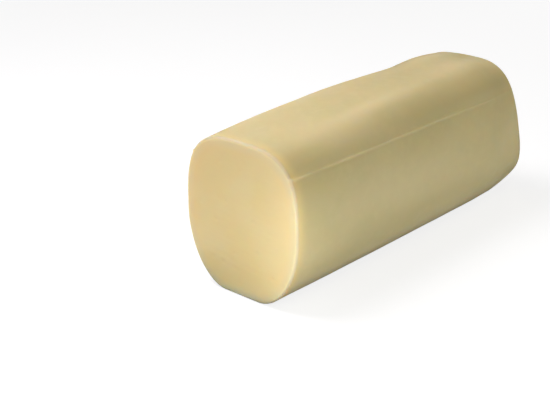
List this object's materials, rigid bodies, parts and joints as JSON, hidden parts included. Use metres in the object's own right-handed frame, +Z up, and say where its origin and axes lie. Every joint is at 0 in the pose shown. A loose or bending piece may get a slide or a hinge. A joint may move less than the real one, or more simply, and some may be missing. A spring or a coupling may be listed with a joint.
{
  "type": "mozzarella cheese loaf",
  "caption": "Long loaf of firm pale yellow mozzarella with rounded corners and one flat cut end, lying on its flat underside.",
  "frame": {"origin": "middle of the loaf's box, on the surface it rests on", "axes": "+Z up, +Y along the loaf from its cut face to its moulded end, +X to the right seen from the cut face"},
  "size_m": [0.0896, 0.2806, 0.107],
  "materials": {
    "cheese": "pale creamy yellow, smooth and slightly waxy"
  },
  "bodies": {
    "root": {"loaf": "cheese"}
  },
  "joints": []
}
